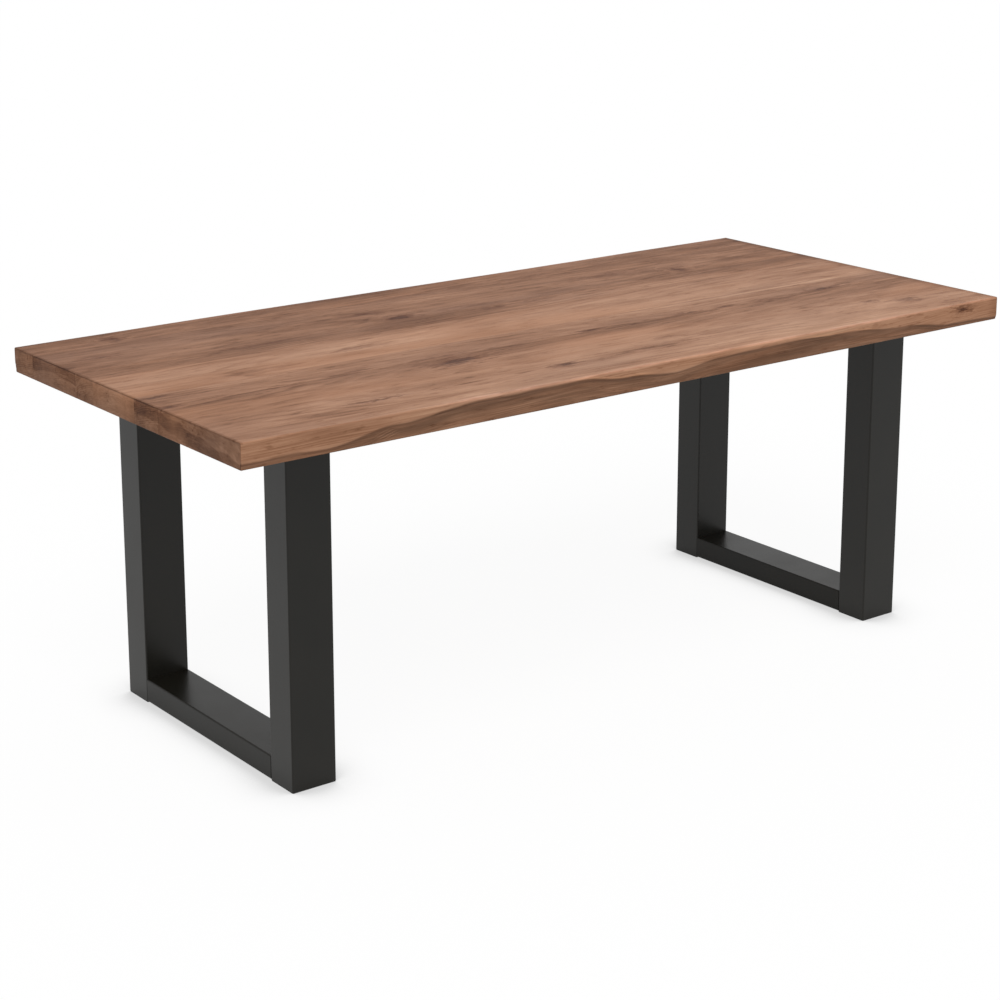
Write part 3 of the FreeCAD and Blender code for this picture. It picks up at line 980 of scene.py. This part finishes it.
def wood(name, grain, front, back, live=False, live_front=False):
    """Solid wood, so that the figure runs on from the faces into the edges and sawn ends."""
    shader = Shader(name)
    place = shader.place()
    seed = tuple(grain.seed * turn for turn in SEED_TURNS)
    wander = shader.layer(WANDER, place, seed, colour=True)
    warped = shader.vector("MULTIPLY_ADD", wander, WANDER_REACH, place)
    heart, halo, push = knots_of(shader, place, seed, grain, live_front)
    radius = pith_distance(shader, place, warped, push, grain, seed)

    tone = board_tone(shader, place, warped, radius, grain, seed, (front + back) / 2)
    tone, fibre, pores = marked_tone(shader, place, warped, halo, seed, tone)
    end_grain = end_grain_share(shader)
    change = end_change(shader, place, grain, front, back)
    tone = shader.math("MULTIPLY_ADD", end_grain, change, tone)

    colour = tinted(shader, place, shader.ramp(tone, WOOD_TONES), grain, seed)
    colour, core = knotted(shader, place, colour, heart, halo, seed)
    colour = end_colour(shader, place, colour, end_grain)
    if live:
        colour = live_edge_colour(shader, place, colour, seed)
        if live_front:
            colour = pale_splits(shader, place, colour)
        colour = painted_arris_highlight(shader, place, colour)

    height = shader.math("MULTIPLY_ADD", pores, -1.0, shader.times(fibre, FIBRE_HEIGHT))
    normal = shader.bump(height, *GRAIN_BUMP)
    normal = shader.bump(shader.times(core, -1.0), *KNOT_BUMP, normal)
    roughness = shader.math("MULTIPLY_ADD", tone, ROUGHNESS_BY_TONE, DARK_ROUGHNESS)
    roughness = shader.add(roughness, shader.times(pores, PORE_ROUGHNESS))
    return shader.surface(Base_Color=colour, Roughness=roughness, Normal=normal,
                          Specular_IOR_Level=WOOD_GLOSS)


# ---- Steel, plastic and zinc ----

# Powder coat, satin on the uprights; the crossbars, close to the floor, get a less glossy copy as
# painted shade
COAT_GLOSS = 0.27
CROSSBAR_SHADED_GLOSS = 0.16
COAT_BLACK = srgb(19, 18, 13)
COAT_DUSTY = srgb(25, 23, 18)
COAT_CLOUD = Layer(even(6.0), 3.0, 0.6, (2.0, 5.0, 1.0))
COAT_PEEL = Layer(even(420.0))
COAT_GRAIN = Layer(even(2600.0), 1.0)
COAT_DUST_SHARES = (0.6, 0.4)
COAT_DUST_LEVELS = (0.35, 0.65)
COAT_ROUGHNESS = (0.3, 0.7, 0.28, 0.34)
COAT_GRAIN_ROUGHNESS = 0.04
COAT_GRAIN_HEIGHT = 0.4
COAT_BUMP = (0.00012, 0.35)

PLASTIC_BLACK = srgb(24, 24, 24)
PLASTIC_SCUFFED = srgb(48, 47, 45)
PLASTIC_SPARK = Layer(even(1500.0), 3.0, 0.7)
PLASTIC_SCUFF = Layer(even(45.0), 3.0, 0.6, (4.0, 1.0, 7.0))
PLASTIC_SCUFF_LEVELS = (0.5, 0.75)
PLASTIC_ROUGHNESS = (0.3, 0.7, 0.62, 0.78)
PLASTIC_BUMP = (0.0002, 0.5)

ZINC_BRIGHT = srgb(196, 198, 196)
ZINC_YELLOWED = srgb(176, 176, 168)
ZINC_CLOUD = Layer(even(240.0), 3.0, 0.6, (3.0, 8.0, 5.0))
ZINC_RUB = Layer((900.0, 900.0, 250.0), 2.0, 0.6)
ZINC_RUB_SHARE = 0.5
ZINC_CLOUD_LEVELS = (0.35, 0.65)
ZINC_ROUGHNESS = (0.5, 1.0, 0.28, 0.48)
ZINC_BUMP = (0.00004, 0.5)


def powder_coat(name, gloss):
    """Satin black powder coat with its faint orange peel."""
    shader = Shader(name)
    place = shader.place()
    cloud = shader.layer(COAT_CLOUD, place)
    grain = shader.layer(COAT_GRAIN, place)
    dust = shader.add(shader.times(cloud, COAT_DUST_SHARES[0]),
                      shader.times(grain, COAT_DUST_SHARES[1]))
    colour = shader.mix(shader.fade(dust, *COAT_DUST_LEVELS), COAT_BLACK, COAT_DUSTY)
    roughness = shader.fade(cloud, *COAT_ROUGHNESS)
    roughness = shader.add(roughness, shader.times(grain, COAT_GRAIN_ROUGHNESS))
    height = shader.add(shader.layer(COAT_PEEL, place), shader.times(grain, COAT_GRAIN_HEIGHT))
    return shader.surface(Base_Color=colour, Roughness=roughness,
                          Normal=shader.bump(height, *COAT_BUMP), Specular_IOR_Level=gloss)


def foot_plastic():
    """Matt black moulded plastic with a fine spark-eroded texture."""
    shader = Shader("black_foot_plastic")
    place = shader.place()
    scuff = shader.layer(PLASTIC_SCUFF, place)
    colour = shader.mix(shader.fade(scuff, *PLASTIC_SCUFF_LEVELS), PLASTIC_BLACK, PLASTIC_SCUFFED)
    normal = shader.bump(shader.layer(PLASTIC_SPARK, place), *PLASTIC_BUMP)
    return shader.surface(Base_Color=colour, Roughness=shader.fade(scuff, *PLASTIC_ROUGHNESS),
                          Normal=normal)


def zinc_plate():
    """Bright zinc plating, a little cloudy and rubbed where the spanner grips."""
    shader = Shader("bright_zinc")
    place = shader.place()
    cloud = shader.layer(ZINC_CLOUD, place)
    rub = shader.layer(ZINC_RUB, place)
    colour = shader.mix(shader.fade(cloud, *ZINC_CLOUD_LEVELS), ZINC_BRIGHT, ZINC_YELLOWED)
    patchy = shader.add(cloud, shader.times(rub, ZINC_RUB_SHARE))
    roughness = shader.fade(patchy, *ZINC_ROUGHNESS)
    return shader.surface(Base_Color=colour, Roughness=roughness, Metallic=1.0,
                          Normal=shader.bump(rub, *ZINC_BUMP))


def dress_frames():
    """Gives every piece of both frames its finish."""
    # The crossbars' less glossy copy of the coat paints in the shade close to the floor.
    finishes = {"upright": powder_coat("black_powder_coat", COAT_GLOSS),
                "crossbar": powder_coat("shaded_powder_coat", CROSSBAR_SHADED_GLOSS),
                "foot_plug": foot_plastic(), "plate_bolts": zinc_plate()}
    finishes["top_plate"] = finishes["upright"]
    finishes["plate_washers"] = finishes["slab_inserts"] = finishes["plate_bolts"]
    for node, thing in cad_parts.items():
        for ending, finish in finishes.items():
            if node.endswith(ending):
                thing.data.materials.clear()
                thing.data.materials.append(finish)


def tabletop():
    for name in BOARDS:
        low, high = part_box(name)
        is_front = name == "front_live_edge_board"
        is_rear = name == "rear_live_edge_board"
        material = wood("wood_" + name, GRAINS[name], low[1], high[1], is_front or is_rear, is_front)
        board(name, None if is_front else low[1], None if is_rear else high[1], material)


camera()
floor()
sky()
sun()
dress_frames()
tabletop()

bpy.context.scene.view_settings.view_transform = "Standard"
